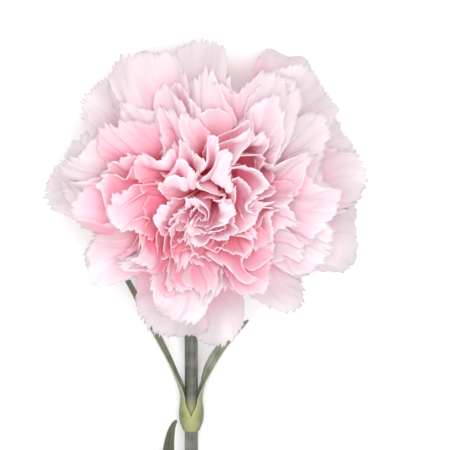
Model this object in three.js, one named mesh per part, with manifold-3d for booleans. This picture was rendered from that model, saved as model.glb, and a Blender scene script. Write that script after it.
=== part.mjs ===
// A cut carnation laid on a table. The stem lies along -Y, the nodding head faces up and leans to +Y,
// and the head rests on two of its drooping outer petals. Millimetres, +Z up, table at z = 0,
// origin at the middle of the footprint.
import * as THREE from "three";
import { mergeVertices } from "three/addons/utils/BufferGeometryUtils.js";
import Module from "manifold-3d";

const wasm = await Module();
wasm.setup();

const { degToRad, radToDeg, smoothstep } = THREE.MathUtils;
const TURN = 2 * Math.PI;

// ---- Driving dimensions: millimetres, and degrees where a name says so ----

const SEED = 7;
const CLEARANCE = 0.3; // between pieces that touch

// The heart is the point in the calyx from which all the petals spread.
const HEART_HEIGHT = 19.9;
const FACE_LEAN_DEG = 18; // of the face's axis, from vertical towards +Y
const NECK_LEAN_DEG = 18; // of the calyx's axis, from the face's axis
const NECK_LEAN_TOWARDS_DEG = 50; // direction of that lean, round the face

const PETAL_THICKNESS = 0.62;
const PETAL_ROOT = 6; // distance of a petal's lower end from the heart
const CLAW_HALF_WIDTH = 1.5;
const SHEET_START = 11; // the sheets' lower ends, sunk in the plug
const MOUTH_DISTANCE = 10; // where petals leave the calyx and start to open
const FULL_REACH = 37; // distance at which a petal has opened to its full angle
const RIM_SLACK = 1.5; // keeps narrow petals from closing into a tube

// Outer petals, one by one: direction round the face, reach, opening from the axis, half width.
const GUARD_PETALS = [
  { directionDeg: 6, reach: 38.5, openingDeg: 92, halfWidth: 12.5 },
  { directionDeg: -17, reach: 37.5, openingDeg: 100, halfWidth: 13 },
  { directionDeg: -48, reach: 35, openingDeg: 96, halfWidth: 14 },
  { directionDeg: -80, reach: 36.5, openingDeg: 102, halfWidth: 13 },
  { directionDeg: -112, reach: 36, openingDeg: 96, halfWidth: 15 },
  { directionDeg: -147, reach: 33.5, openingDeg: 104, halfWidth: 13.5 },
  { directionDeg: 180, reach: 38, openingDeg: 95, halfWidth: 13.5 },
  { directionDeg: 158, reach: 34.5, openingDeg: 103, halfWidth: 12.5 },
  { directionDeg: 139, reach: 37.5, openingDeg: 95, halfWidth: 13.5 },
  { directionDeg: 118, reach: 36.5, openingDeg: 107, halfWidth: 12.5 },
  { directionDeg: 93, reach: 36, openingDeg: 96, halfWidth: 13.5 },
  { directionDeg: 57, reach: 43.5, openingDeg: 103, halfWidth: 9.5 },
  { directionDeg: 42, reach: 38, openingDeg: 95, halfWidth: 13.5 },
  { directionDeg: 24, reach: 37.5, openingDeg: 104, halfWidth: 12.5 },
];
const GUARD_TEETH = 1.6;

// Inner petals, ring by ring towards the middle; teeth is the height of the jags on the rim.
const RINGS = [
  { count: 8, reach: 35, openingDeg: 82, halfWidth: 13, startDeg: 25, teeth: 1.3 },
  { count: 8, reach: 32.5, openingDeg: 67, halfWidth: 12.5, startDeg: 47, teeth: 1.2 },
  { count: 7, reach: 31, openingDeg: 51, halfWidth: 11.5, startDeg: 5, teeth: 1.1 },
  { count: 5, reach: 30.5, openingDeg: 36, halfWidth: 11, startDeg: 20, teeth: 1 },
  { count: 5, reach: 30, openingDeg: 23, halfWidth: 10, startDeg: 50, teeth: 0.9 },
  { count: 3, reach: 30, openingDeg: 11, halfWidth: 8.5, startDeg: 15, teeth: 0.8 },
  { count: 2, reach: 30, openingDeg: 4, halfWidth: 7, startDeg: 70, teeth: 0.8 },
];

// By ring, the outer petals' first: how deep its petals are pleated, how far their upper half curls
// outwards and how far the rim then rolls on.
const PLEATING = [1.2, 2.4, 4.6, 5.6, 5.4, 1.8, 1, 0.8];
const CURL_DEG = [[-2, 5], [-1, 8], [-8, 4], [-11, 1], [-9, 1], [-8, 0], [-5, -2], [-2, 0]];
const ROLL_DEG = [0, 2, 4, 6, 8, 10, 8, 3];

// On the stem's side the inner petals stand more upright, and are shorter, by these shares.
const STEM_SIDE_LIFT = 0.42;
const STEM_SIDE_LOSS = 0.1;

// Where the face is shorter: direction round it, share of the reach that is lost, spread.
const SHORT_SIDES = [
  { directionDeg: -162, share: 0.09, spreadDeg: 8 },
  { directionDeg: -124, share: 0.14, spreadDeg: 12 },
  { directionDeg: -70, share: 0.16, spreadDeg: 12 },
  { directionDeg: -41, share: 0.1, spreadDeg: 7 },
  { directionDeg: 14, share: 0.05, spreadDeg: 12 },
  { directionDeg: 75, share: 0.12, spreadDeg: 7 },
  { directionDeg: 149, share: 0.08, spreadDeg: 14 },
];

// ---- Seeded random draws ----

function dice(seed) {
  let state = seed;
  const roll = () => {
    state = (state * 1664525 + 1013904223) % 4294967296;
    return state / 4294967296;
  };
  for (let warmUp = 0; warmUp < 3; warmUp++) roll();
  return { roll, span: (low, high) => low + (high - low) * roll() };
}

// ---- Closed solids ----

// A closed sheet: pointAt(u, v) gives its middle surface for u from -1 to 1 and v from 0 to 1.
// cells lists how many cells each row of points is wide, from the sheet's lower end to its rim.
function sheet(cells, thickness, pointAt) {
  const middle = [];
  const rows = cells.map((count, row) =>
    Array.from({ length: count + 1 }, (_, column) => {
      middle.push(...pointAt((2 * column) / count - 1, row / (cells.length - 1)).toArray());
      return middle.length / 3 - 1;
    }),
  );
  const upper = rows.slice(1).flatMap((row, i) => strip(rows[i], row));
  const geometry = new THREE.BufferGeometry()
    .setAttribute("position", new THREE.Float32BufferAttribute(middle, 3))
    .setIndex(upper);
  geometry.computeVertexNormals();
  const normal = geometry.getAttribute("normal").array;
  const points = [1, -1].flatMap((side) =>
    middle.map((value, i) => value + (side * normal[i] * thickness) / 2),
  );
  const count = middle.length / 3;
  const under = upper.map((vertex) => vertex + count).reverse();
  const border = [
    ...rows[0],
    ...rows.slice(1, -1).map((row) => row.at(-1)),
    ...rows.at(-1).toReversed(),
    ...rows.slice(1, -1).map((row) => row[0]).reverse(),
  ];
  const side = border.flatMap((a, i) => {
    const b = border[(i + 1) % border.length];
    return [a + count, b + count, b, a + count, b, a];
  });
  return new THREE.BufferGeometry()
    .setAttribute("position", new THREE.Float32BufferAttribute(points, 3))
    .setIndex([...upper, ...under, ...side]);
}

// Triangles between two rows of vertices, which may have different counts.
function strip(lower, higher) {
  const faces = [];
  let i = 0;
  let j = 0;
  while (i < lower.length - 1 || j < higher.length - 1) {
    const nextLower = (i + 1) / (lower.length - 1);
    const nextHigher = (j + 1) / (higher.length - 1);
    if (nextLower <= nextHigher) {
      faces.push(lower[i], lower[i + 1], higher[j]);
      i++;
    } else {
      faces.push(lower[i], higher[j + 1], higher[j]);
      j++;
    }
  }
  return faces;
}

// A turned body about the Y axis, with its vertices moved by place(x, y, z).
function turned(profile, segments, place) {
  const outline = profile.map(([radius, height]) => new THREE.Vector2(radius, height));
  const geometry = new THREE.LatheGeometry(outline, segments);
  geometry.deleteAttribute("normal");
  geometry.deleteAttribute("uv");
  const closed = mergeVertices(geometry, 1e-4);
  const position = closed.getAttribute("position");
  for (let i = 0; i < position.count; i++) {
    const point = place(position.getX(i), position.getY(i), position.getZ(i));
    position.setXYZ(i, point.x, point.y, point.z);
  }
  return closed;
}

function solid(geometry) {
  return new wasm.Manifold(
    new wasm.Mesh({
      numProp: 3,
      vertProperties: geometry.getAttribute("position").array,
      triVerts: new Uint32Array(geometry.index.array),
    }),
  );
}

// The joined solids as one geometry, without any pocket that is closed in between them.
function joined(geometries) {
  const bodies = wasm.Manifold.union(geometries.map(solid)).decompose();
  const outer = bodies.reduce((best, body) => (body.volume() > best.volume() ? body : best));
  const mesh = outer.getMesh();
  return new THREE.BufferGeometry()
    .setAttribute("position", new THREE.Float32BufferAttribute(mesh.vertProperties, 3))
    .setIndex(new THREE.Uint32BufferAttribute(mesh.triVerts, 1));
}

// ---- From the head's own frame (origin at the heart, +Z along the face's axis) to the table ----

const faceTurn = new THREE.Quaternion().setFromAxisAngle(
  new THREE.Vector3(1, 0, 0),
  -degToRad(FACE_LEAN_DEG),
);
const leanTowards = degToRad(NECK_LEAN_TOWARDS_DEG);
const neckHinge = new THREE.Vector3(-Math.sin(leanTowards), Math.cos(leanTowards), 0);

// Turns what is near the heart onto the calyx's axis; the open petals keep the face's axis.
function bendNeck(point) {
  const freed = smoothstep(Math.hypot(point.x, point.y, Math.max(point.z, 0)), 8, 25);
  return point.applyAxisAngle(neckHinge, degToRad(NECK_LEAN_DEG) * (1 - freed));
}

function onTable(point) {
  return point.applyQuaternion(faceTurn).add(new THREE.Vector3(0, 0, HEART_HEIGHT));
}

// ---- Petals ----

// How much an inner petal faces the stem, from 0 to 1; 0 for the outer ones.
function stemSide({ directionDeg, ring }) {
  return ring ? Math.max(0, -Math.sin(degToRad(directionDeg))) : 0;
}

function petalList() {
  const { roll, span } = dice(SEED);
  const petals = GUARD_PETALS.map((petal) => ({ ...petal, teeth: GUARD_TEETH, ring: 0 }));
  RINGS.forEach(({ count, reach, openingDeg, halfWidth, startDeg, teeth }, i) => {
    for (let place = 0; place < count; place++) {
      petals.push({
        directionDeg: startDeg + (360 * (place + span(-0.12, 0.12))) / count,
        reach: reach * span(0.95, 1.05),
        openingDeg,
        halfWidth: halfWidth * span(0.92, 1.1),
        teeth,
        ring: i + 1,
      });
    }
  });
  return petals.map((petal) => ({
    ...petal,
    reach: petal.reach * (1 - STEM_SIDE_LOSS * stemSide(petal)),
    openingDeg: petal.openingDeg * (1 - STEM_SIDE_LIFT * stemSide(petal)),
    shingle: petal.ring ? span(3.5, 5) : span(0.5, 1.5),
    curl: span(...CURL_DEG[petal.ring]),
    pleats: span(1.2, 2.4),
    pleatPhase: span(0, TURN),
    pleatDepth: span(0.3, 0.7) * PLEATING[petal.ring],
    jagSeed: span(0, 100),
    shoulder: span(0.16, 0.3),
    slant: span(-0.08, 0.08),
    tone: roll(),
    teeth: petal.teeth * span(0.8, 1.2),
    cup: petal.ring ? span(0, 6) : span(-1, 3),
  }));
}

// The angle from one direction to another, from -180 to 180 degrees.
function turnBetween(fromDeg, toDeg) {
  return THREE.MathUtils.euclideanModulo(toDeg - fromDeg + 180, 360) - 180;
}

// Distance of a petal's rim from the heart at u across its width.
function rimAt(petal, u, jag) {
  const facingDeg = petal.directionDeg + radToDeg((u * petal.halfWidth) / petal.reach);
  const lost = SHORT_SIDES.reduce((sum, { directionDeg, share, spreadDeg }) => {
    const aside = turnBetween(directionDeg, facingDeg) / spreadDeg;
    return sum + share * Math.exp(-(aside ** 2));
  }, 0);
  const outline = 1 - petal.shoulder * Math.abs(u) ** 2.4 + petal.slant * u - lost;
  const lobes = 0.9 * Math.sin(4.3 * u + 2.2 * petal.jagSeed);
  return petal.reach * outline + lobes + (jag - 0.8) * petal.teeth;
}

// A wave with straighter flanks and tighter bends than a sine.
function crease(turn) {
  return Math.asin(0.95 * Math.sin(turn)) / Math.asin(0.95);
}

// A petal's middle surface: a fan from the claw, laid on a cone that opens outwards.
function petalPoint(petal, u, distance) {
  const along = (distance - PETAL_ROOT) / (petal.reach - PETAL_ROOT);
  const fan = 0.25 * along + 0.75 * smoothstep(along, 0.15, 1);
  const lateral = u * (CLAW_HALF_WIDTH + (petal.halfWidth - CLAW_HALF_WIDTH) * fan);
  const mouthDeg = 3 + (29 * petal.openingDeg) / 104;
  const opened = Math.max(distance - MOUTH_DISTANCE, 0) / (FULL_REACH - MOUTH_DISTANCE);
  const haste = 0.5 + 0.55 * smoothstep(petal.openingDeg, 50, 95);
  const shape = petal.shingle * u - petal.cup * (u * u - 0.33);
  const roll = ROLL_DEG[petal.ring] * (0.6 + 0.4 * Math.sin(2.6 * u + petal.jagSeed));
  const openDeg =
    mouthDeg +
    (petal.openingDeg - mouthDeg) * opened ** haste +
    shape * (0.25 + 0.75 * smoothstep(distance, 10, 32)) +
    petal.curl * smoothstep(along, 0.7, 1.05) ** 1.3 +
    roll * smoothstep(along, 0.84, 1.02);
  const pleat =
    petal.pleatDepth *
    crease((u * TURN * petal.pleats) / 2 + petal.pleatPhase) *
    smoothstep(along, 0.35, 1) ** 1.3;
  const open = degToRad(openDeg) + pleat / distance;
  const radius = distance * Math.sin(open);
  const round = degToRad(petal.directionDeg) + lateral / (Math.abs(radius) + RIM_SLACK);
  return new THREE.Vector3(
    radius * Math.cos(round),
    radius * Math.sin(round),
    distance * Math.cos(open),
  );
}

// Waves that run through all the petals at once, so that neighbours fold together and don't cross.
const SIDE_WAVES = [
  { alongDeg: 10, length: 17, height: 1.6, phase: 0.4 },
  { alongDeg: 72, length: 15, height: 1.4, phase: 2.1 },
  { alongDeg: 131, length: 18, height: 1.6, phase: 4 },
  { alongDeg: 48, length: 10.5, height: 0.8, phase: 1 },
  { alongDeg: 160, length: 11.5, height: 0.8, phase: 3 },
];
const UPRIGHT_WAVES = [
  { alongDeg: 35, length: 19, height: 1.3, phase: 0.9 },
  { alongDeg: 95, length: 16, height: 1, phase: 2.6 },
  { alongDeg: 155, length: 21, height: 1.2, phase: 5 },
];
const HEART_SLIDE = { x: -1.5, y: -6 }; // of the middle of the face, towards the stem

function fold(point) {
  const distance = point.length();
  const aside = Math.hypot(point.x, point.y);
  const round = Math.atan2(point.y, point.x);
  const open = Math.atan2(aside, point.z);
  const ripple = 0.07 * Math.sin(8 * round + 5 * open + 0.4) + 0.045 * Math.sin(13 * round - 6 * open + 2);
  const rippled = open + ripple * smoothstep(aside, 10, 34);
  let x = distance * Math.sin(rippled) * Math.cos(round);
  let y = distance * Math.sin(rippled) * Math.sin(round);
  let z = distance * Math.cos(rippled);
  const free = smoothstep(distance, 12, 30);
  const crumple = free * (0.15 + 0.85 * smoothstep(aside, 4, 12) - 0.85 * smoothstep(aside, 14, 28));
  for (const { alongDeg, length, height, phase } of SIDE_WAVES) {
    const cos = Math.cos(degToRad(alongDeg));
    const sin = Math.sin(degToRad(alongDeg));
    const across = (TURN * (cos * y - sin * x)) / length + phase + 0.07 * z;
    const shift = height * crumple * crease(across);
    x += cos * shift;
    y += sin * shift;
  }
  for (const { alongDeg, length, height, phase } of UPRIGHT_WAVES) {
    const cos = Math.cos(degToRad(alongDeg));
    const sin = Math.sin(degToRad(alongDeg));
    z += height * free * Math.sin((TURN * (cos * x + sin * y)) / length + phase);
  }
  const raised = smoothstep(z, 2, 26);
  return new THREE.Vector3(x + HEART_SLIDE.x * raised, y + HEART_SLIDE.y * raised, z);
}

// Petals that would sink into the table flatten against it.
function flatten(point, lowest) {
  const softness = 0.8;
  const height = (point.z - lowest) / softness;
  if (height < 12) point.z = lowest + softness * Math.log1p(Math.exp(height));
  return point;
}

function petalSheet(petal) {
  const cells = petal.ring ? [2, 4, 6, 6] : [2, 4, 6, 8, 8];
  return sheet(cells, PETAL_THICKNESS, (u, v) => {
    const column = Math.round(((u + 1) / 2) * cells.at(-1));
    const jag = column % 2 ? 1 : 0.25;
    const distance = SHEET_START + (rimAt(petal, u, jag) - SHEET_START) * v;
    return flatten(onTable(bendNeck(fold(petalPoint(petal, u, distance)))), PETAL_THICKNESS / 2);
  });
}

// What the petals' claws grow from: a plug that fills the calyx and a low dome above its mouth.
const PLUG_PROFILE = [
  [0, -13],
  [3.4, -13],
  [4.3, -6],
  [4.9, 0],
  [5.3, 5.5],
  [5.9, 8.2],
  [9.6, 11],
  [8.2, 12.9],
  [4.6, 14.6],
  [0, 15],
];

// Moves a body turned about Y so that its height runs along the calyx's axis.
function headPlace(x, y, z) {
  return onTable(bendNeck(new THREE.Vector3(x, -z, y)));
}

function bloom() {
  return joined([turned(PLUG_PROFILE, 12, headPlace), ...petalList().map(petalSheet)]);
}

// ---- Calyx: a tube with five teeth, and bracts round its foot ----

const CALYX_WALL = 0.9;
const CALYX_FOOT = -16.4; // height of the foot along the axis, from the heart
const CALYX_FLOOR = -14.2;
const CALYX_MOUTH = 5.4; // height of the notches between the teeth
const TOOTH_HEIGHT = 2.9;
const TOOTH_COUNT = 5;
const CALYX_SEGMENTS = 40;

// The calyx's outside radius at a height along its axis.
function calyxRadius(height) {
  const up = (height - CALYX_FOOT) / (CALYX_MOUTH - CALYX_FOOT);
  return 3.1 + 3.4 * Math.sin((Math.min(up, 1.1) * Math.PI) / 2) ** 0.6;
}

function calyx() {
  const outside = [];
  const inside = [];
  const steps = 9;
  for (let i = 0; i <= steps; i++) {
    const height = CALYX_FOOT + 1 + ((CALYX_MOUTH - CALYX_FOOT - 1) * i) / steps;
    outside.push([calyxRadius(height), height]);
  }
  for (const height of [CALYX_MOUTH, 2, -2, -6, -10, CALYX_FLOOR]) {
    inside.push([calyxRadius(height) - CALYX_WALL, height]);
  }
  const profile = [[0, CALYX_FOOT], [1.9, CALYX_FOOT], ...outside, ...inside, [0, CALYX_FLOOR]];
  const tube = turned(profile, CALYX_SEGMENTS, (x, y, z) => {
    const tooth = 1 - Math.abs(2 * ((TOOTH_COUNT * (Math.atan2(z, x) / TURN + 1)) % 1) - 1);
    const pull = smoothstep(y, CALYX_MOUTH - 4, CALYX_MOUTH) * tooth;
    const flare = 1 + 0.16 * pull;
    return headPlace(x * flare, y + TOOTH_HEIGHT * pull, z * flare);
  });
  return joined([tube, ...BRACTS.map(bract)]);
}

// Bracts: broad scales that hug the calyx's foot, an inner pair over an outer pair.
const BRACTS = [
  { directionDeg: 20, length: 9, lift: 0.25 },
  { directionDeg: 200, length: 9, lift: 0.25 },
  { directionDeg: 110, length: 7.5, lift: 0.75 },
  { directionDeg: 290, length: 7.5, lift: 0.75 },
];
const BRACT_THICKNESS = 0.7;

function bract({ directionDeg, length, lift }) {
  return sheet([4, 6, 6, 6, 4, 2], BRACT_THICKNESS, (u, v) => {
    const height = CALYX_FOOT + 0.4 + length * v;
    const halfAngle = degToRad(62) * Math.sqrt(1 - 0.94 * v ** 1.6);
    const round = degToRad(directionDeg) + u * halfAngle;
    const radius = calyxRadius(Math.max(height, CALYX_FOOT + 1)) + lift;
    return headPlace(radius * Math.cos(round), height, radius * Math.sin(round));
  });
}

// ---- Stem: lies on the table, then turns up into the calyx ----

const STEM_END = new THREE.Vector3(-3.2, -155, 1.75);
const STEM_TURN = new THREE.Vector3(-4, -30, 3.4); // where the neck starts to rise
const STEM_RADIUS = { cut: 1.75, neck: 1.5 };
const JOINTS = [
  { distance: 46, swell: 0.5 },
  { distance: 95, swell: 0.35 },
];

const calyxFoot = headPlace(0, CALYX_FOOT - CLEARANCE, 0);
const calyxAxis = headPlace(0, CALYX_FOOT + 1, 0).sub(headPlace(0, CALYX_FOOT, 0));

function stemPath() {
  const path = new THREE.CurvePath();
  path.add(
    new THREE.CubicBezierCurve3(
      STEM_END,
      STEM_END.clone().add(new THREE.Vector3(-1.8, 40, 3.6)),
      STEM_TURN.clone().add(new THREE.Vector3(0.4, -40, 1.8)),
      STEM_TURN,
    ),
  );
  path.add(
    new THREE.CubicBezierCurve3(
      STEM_TURN,
      STEM_TURN.clone().add(new THREE.Vector3(0.15, 10, -0.5)),
      calyxFoot.clone().addScaledVector(calyxAxis, -7),
      calyxFoot,
    ),
  );
  return path;
}

const stemCurve = stemPath();
const stemLength = stemCurve.getLength();

function stemRadius(distance) {
  const along = distance / stemLength;
  const swelling = JOINTS.reduce(
    (sum, joint) => sum + joint.swell * Math.exp(-(((distance - joint.distance) / 2.6) ** 2)),
    0,
  );
  const collar = 0.5 * smoothstep(distance, stemLength - 3, stemLength);
  return STEM_RADIUS.cut + (STEM_RADIUS.neck - STEM_RADIUS.cut) * along + swelling + collar;
}

// A point at a distance along the stem, moved aside (to +X) and away from the table.
function besideStem(distance, aside, above) {
  const share = THREE.MathUtils.clamp(distance / stemLength, 0, 1);
  const tangent = stemCurve.getTangentAt(share);
  const right = new THREE.Vector3(1, 0, 0).addScaledVector(tangent, -tangent.x).normalize();
  const upward = right.clone().cross(tangent);
  return stemCurve.getPointAt(share).addScaledVector(right, aside).addScaledVector(upward, above);
}

function stem() {
  const profile = [[0, 0]];
  const stops = [0, 20, 36, 40, 43, 46, 49, 52, 60, 74, 85, 89, 92, 95, 98, 101, 110];
  for (let distance = 116; distance < stemLength - 3; distance += 3) stops.push(distance);
  stops.push(stemLength - 3, stemLength);
  stops.forEach((distance) => profile.push([stemRadius(distance), distance]));
  profile.push([0, stemLength]);
  return turned(profile, 14, (x, y, z) => besideStem(y, x, z));
}

// ---- Leaves: a half sheath round a joint, then a narrow channelled blade ----

const LEAF_THICKNESS = 0.6;
const SHEATH_GAP = 0.45; // between a sheath and the stem that it clasps
const SHEATH_LENGTH = 8;
const SHEATH_SHARE = 0.3; // of the leaf's rows
const SHEATH_HALF_DEG = { foot: 83, top: 52 };
const CHANNEL_RADIUS = 4; // of the open blade's cross section

// The twist turns a blade's hollow face from the stem towards the sky.
const LEAVES = [
  {
    name: "leaf_upper_left",
    joint: JOINTS[1],
    side: -1,
    halfWidth: 1.9,
    twistDeg: 22,
    bends: [new THREE.Vector3(-6.4, -50, 5), new THREE.Vector3(-13.5, -36, 9)],
    tip: new THREE.Vector3(-24, -15, 7),
  },
  {
    name: "leaf_upper_right",
    joint: JOINTS[1],
    side: 1,
    halfWidth: 1.8,
    twistDeg: 35,
    bends: [new THREE.Vector3(-1, -51, 4.5), new THREE.Vector3(0.5, -43, 8)],
    tip: new THREE.Vector3(9.5, -34, 11),
  },
  {
    name: "leaf_lower_left",
    joint: JOINTS[0],
    side: -1,
    halfWidth: 2.5,
    twistDeg: 68,
    bends: [new THREE.Vector3(-9.5, -96, 4), new THREE.Vector3(-11.5, -63, 9)],
    tip: new THREE.Vector3(-7.4, -60.5, 8),
  },
  {
    name: "leaf_lower_right",
    joint: JOINTS[0],
    side: 1,
    halfWidth: 2.4,
    twistDeg: 60,
    bends: [new THREE.Vector3(0.5, -95, 5), new THREE.Vector3(14, -80, 11)],
    tip: new THREE.Vector3(31, -85, 2),
  },
];

function leaf({ joint, side, halfWidth, twistDeg, bends, tip }) {
  const start = joint.distance - SHEATH_LENGTH / 2;
  const hold = (distance) => stemRadius(distance) + SHEATH_GAP + LEAF_THICKNESS / 2;
  const end = start + SHEATH_LENGTH;
  const blade = new THREE.CubicBezierCurve3(besideStem(end, side * hold(end), 0), ...bends, tip);
  return sheet(Array(18).fill(6), LEAF_THICKNESS, (u, v) => {
    const inSheath = v < SHEATH_SHARE;
    const distance = start + (SHEATH_LENGTH * Math.min(v, SHEATH_SHARE)) / SHEATH_SHARE;
    const out = Math.max(v - SHEATH_SHARE, 0) / (1 - SHEATH_SHARE);
    const spine = inSheath ? besideStem(distance, side * hold(distance), 0) : blade.getPointAt(out);
    const tangent = inSheath ? stemCurve.getTangentAt(distance / stemLength) : blade.getTangentAt(out);
    const back = new THREE.Vector3(side, 0, 0).addScaledVector(tangent, -side * tangent.x).normalize();
    const twist = side * degToRad(twistDeg) * smoothstep(out, 0, 0.5);
    back.applyAxisAngle(tangent, twist);
    const across = tangent.clone().cross(back);
    const radius = THREE.MathUtils.lerp(hold(distance), CHANNEL_RADIUS, smoothstep(out, 0, 0.4));
    const taper = Math.sqrt(1 - 0.97 * out ** 2.2);
    const { foot, top } = SHEATH_HALF_DEG;
    const wrapDeg = foot + (top - foot) * smoothstep(v, 0.45 * SHEATH_SHARE, SHEATH_SHARE);
    const sheathHalf = radius * degToRad(wrapDeg);
    const half = THREE.MathUtils.lerp(sheathHalf, halfWidth, smoothstep(out, 0, 0.15)) * taper;
    const round = (u * half) / radius;
    return spine
      .addScaledVector(back, radius * (Math.cos(round) - 1))
      .addScaledVector(across, radius * Math.sin(round));
  });
}

// ---- The flower as a scene ----

const PINK = 0xf2ccd8;
const CALYX_GREEN = 0x8f9b74;
const STEM_GREEN = 0x6b6d62;
const LEAF_GREEN = 0x87907a;

const flower = new THREE.Group();

function piece(name, geometry, color, roughness) {
  const mesh = new THREE.Mesh(
    geometry,
    new THREE.MeshStandardMaterial({ color, roughness, metalness: 0 }),
  );
  mesh.name = name;
  flower.add(mesh);
}

piece("bloom", bloom(), PINK, 0.6);
piece("calyx", calyx(), CALYX_GREEN, 0.55);
piece("stem", stem(), STEM_GREEN, 0.5);
LEAVES.forEach((shape) => piece(shape.name, leaf(shape), LEAF_GREEN, 0.5));

// The origin goes to the middle of the footprint.
const box = new THREE.Box3().setFromObject(flower);
const middle = box.getCenter(new THREE.Vector3());
flower.position.set(-middle.x, -middle.y, -box.min.z);

export default flower;
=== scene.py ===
"""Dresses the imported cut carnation: fine petals, calyx, stem and leaves in place of its solids.

Shapes are worked out in millimetres from the heart, the point in the calyx from which all the
petals spread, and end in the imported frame, in metres: +Z up, the stem along -Y, the bloom at +Y.
"""
import math

import bpy
import numpy as np
from mathutils import Matrix, Vector


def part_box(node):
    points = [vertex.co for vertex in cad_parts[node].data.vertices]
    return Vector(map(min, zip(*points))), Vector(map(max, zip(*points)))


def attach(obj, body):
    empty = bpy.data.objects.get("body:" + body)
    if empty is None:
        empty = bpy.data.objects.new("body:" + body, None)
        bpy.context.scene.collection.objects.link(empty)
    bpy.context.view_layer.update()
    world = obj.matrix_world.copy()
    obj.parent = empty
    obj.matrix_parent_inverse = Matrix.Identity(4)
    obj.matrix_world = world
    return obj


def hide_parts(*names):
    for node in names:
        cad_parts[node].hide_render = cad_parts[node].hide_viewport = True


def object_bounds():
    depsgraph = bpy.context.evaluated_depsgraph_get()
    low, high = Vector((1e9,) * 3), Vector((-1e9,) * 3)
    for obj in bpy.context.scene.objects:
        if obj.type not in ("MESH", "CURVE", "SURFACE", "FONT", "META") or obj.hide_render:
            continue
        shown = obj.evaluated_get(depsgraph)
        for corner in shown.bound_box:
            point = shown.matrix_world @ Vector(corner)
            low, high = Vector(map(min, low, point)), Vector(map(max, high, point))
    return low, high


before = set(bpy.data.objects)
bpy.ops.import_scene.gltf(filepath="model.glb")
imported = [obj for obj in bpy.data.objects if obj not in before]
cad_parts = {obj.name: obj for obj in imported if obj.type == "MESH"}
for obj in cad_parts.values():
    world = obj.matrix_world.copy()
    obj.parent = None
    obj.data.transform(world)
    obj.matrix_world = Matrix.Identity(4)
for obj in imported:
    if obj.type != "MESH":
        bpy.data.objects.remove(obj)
cad_low, cad_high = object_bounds()

MM = 0.001
TURN = 2 * math.pi

# ---- Driving dimensions, which the solids share: millimetres, and degrees where a name says so

SEED = 7
HEART_HEIGHT = 19.9
FACE_LEAN_DEG = 18  # of the face's axis from upright, towards +Y
NECK_LEAN_DEG = 18
NECK_LEAN_TOWARDS_DEG = 50
NECK_LEAN_ENDS = (8, 25)  # the lean dies away between these distances from the heart
PETAL_ROOT = 6  # where the blade begins, from the heart
CLAW_HALF_WIDTH = 1.5
CLAW_START = 1.5
MOUTH_DISTANCE = 10
MOUTH_OPENING = (3, 29)  # a petal's angle in the mouth: the least, and what the widest adds
WIDEST_OPENING = 104
FULL_REACH = 37  # where a petal has opened to its full angle
RIM_SLACK = 1.5  # keeps narrow petals from closing into a tube
GUARD_TEETH = 1.6
TEETH_PER_HALF = 7.5  # on a petal of the usual half width
USUAL_HALF_WIDTH = 13
CREASING = 0.95  # 0 is a sine, 1 a zigzag
HEART_SLIDE = (-1.5, -6)  # of the middle of the face, towards the stem
PRESS_WIDTH = 0.8  # how softly a rim bends where it meets the table
# By ring, from the outer petals in: what the pleats' drawn depth is multiplied by, the degrees
# between which the curl of the last third is drawn, outwards if above 0, and the rim's roll.
PLEATING = [1.2, 2.4, 4.6, 5.6, 5.4, 1.8, 1, 0.8]
CURLS = [(-2, 5), (-1, 8), (-8, 4), (-11, 1), (-9, 1), (-8, 0), (-5, -2), (-2, 0)]
ROLLS = [0, 2, 4, 6, 8, 10, 8, 3]
STEM_SIDE_LIFT = 0.42  # share of its opening that an inner petal loses on the stem's side
STEM_SIDE_LOSS = 0.1  # and share of its reach
# Along a petal, 0 at its root and 1 at the rim: where each of its forms sets in and is full.
FAN_ENDS = (0.15, 1)
CURL_ENDS = (0.7, 1.05)
ROLL_ENDS = (0.84, 1.02)
PLEAT_ENDS = (0.35, 1)
RIB_ENDS = (0.45, 1)
RUFFLE_ENDS = (0.55, 1.02)
# The same by distance from the heart, for a petal's slope and cup and for the waves.
SHAPE_ENDS = (10, 32)
WAVE_ENDS = (12, 30)
# By distance from the axis: where the ripples grow, and where the sideways waves grow and fade.
RIPPLE_ENDS = (10, 34)
CRUMPLE_BELT = ((4, 12), (14, 28))

# Outer petals: direction round the face, reach, opening from the axis, half width.
GUARD_PETALS = [
    (6, 38.5, 92, 12.5),
    (-17, 37.5, 100, 13),
    (-48, 35, 96, 14),
    (-80, 36.5, 102, 13),
    (-112, 36, 96, 15),
    (-147, 33.5, 104, 13.5),
    (180, 38, 95, 13.5),
    (158, 34.5, 103, 12.5),
    (139, 37.5, 95, 13.5),
    (118, 36.5, 107, 12.5),
    (93, 36, 96, 13.5),
    (57, 43.5, 103, 9.5),
    (42, 38, 95, 13.5),
    (24, 37.5, 104, 12.5),
]
# Inner petals by ring: count, reach, opening, half width, first direction, height of the teeth.
RINGS = [
    (8, 35, 82, 13, 25, 1.3),
    (8, 32.5, 67, 12.5, 47, 1.2),
    (7, 31, 51, 11.5, 5, 1.1),
    (5, 30.5, 36, 11, 20, 1),
    (5, 30, 23, 10, 50, 0.9),
    (3, 30, 11, 8.5, 15, 0.8),
    (2, 30, 4, 7, 70, 0.8),
]
# Where the face is shorter: direction round it, share of the reach that is lost, spread.
SHORT_SIDES = [
    (-162, 0.09, 8),
    (-124, 0.14, 12),
    (-70, 0.16, 12),
    (-41, 0.1, 7),
    (14, 0.05, 12),
    (75, 0.12, 7),
    (149, 0.08, 14),
]
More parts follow.
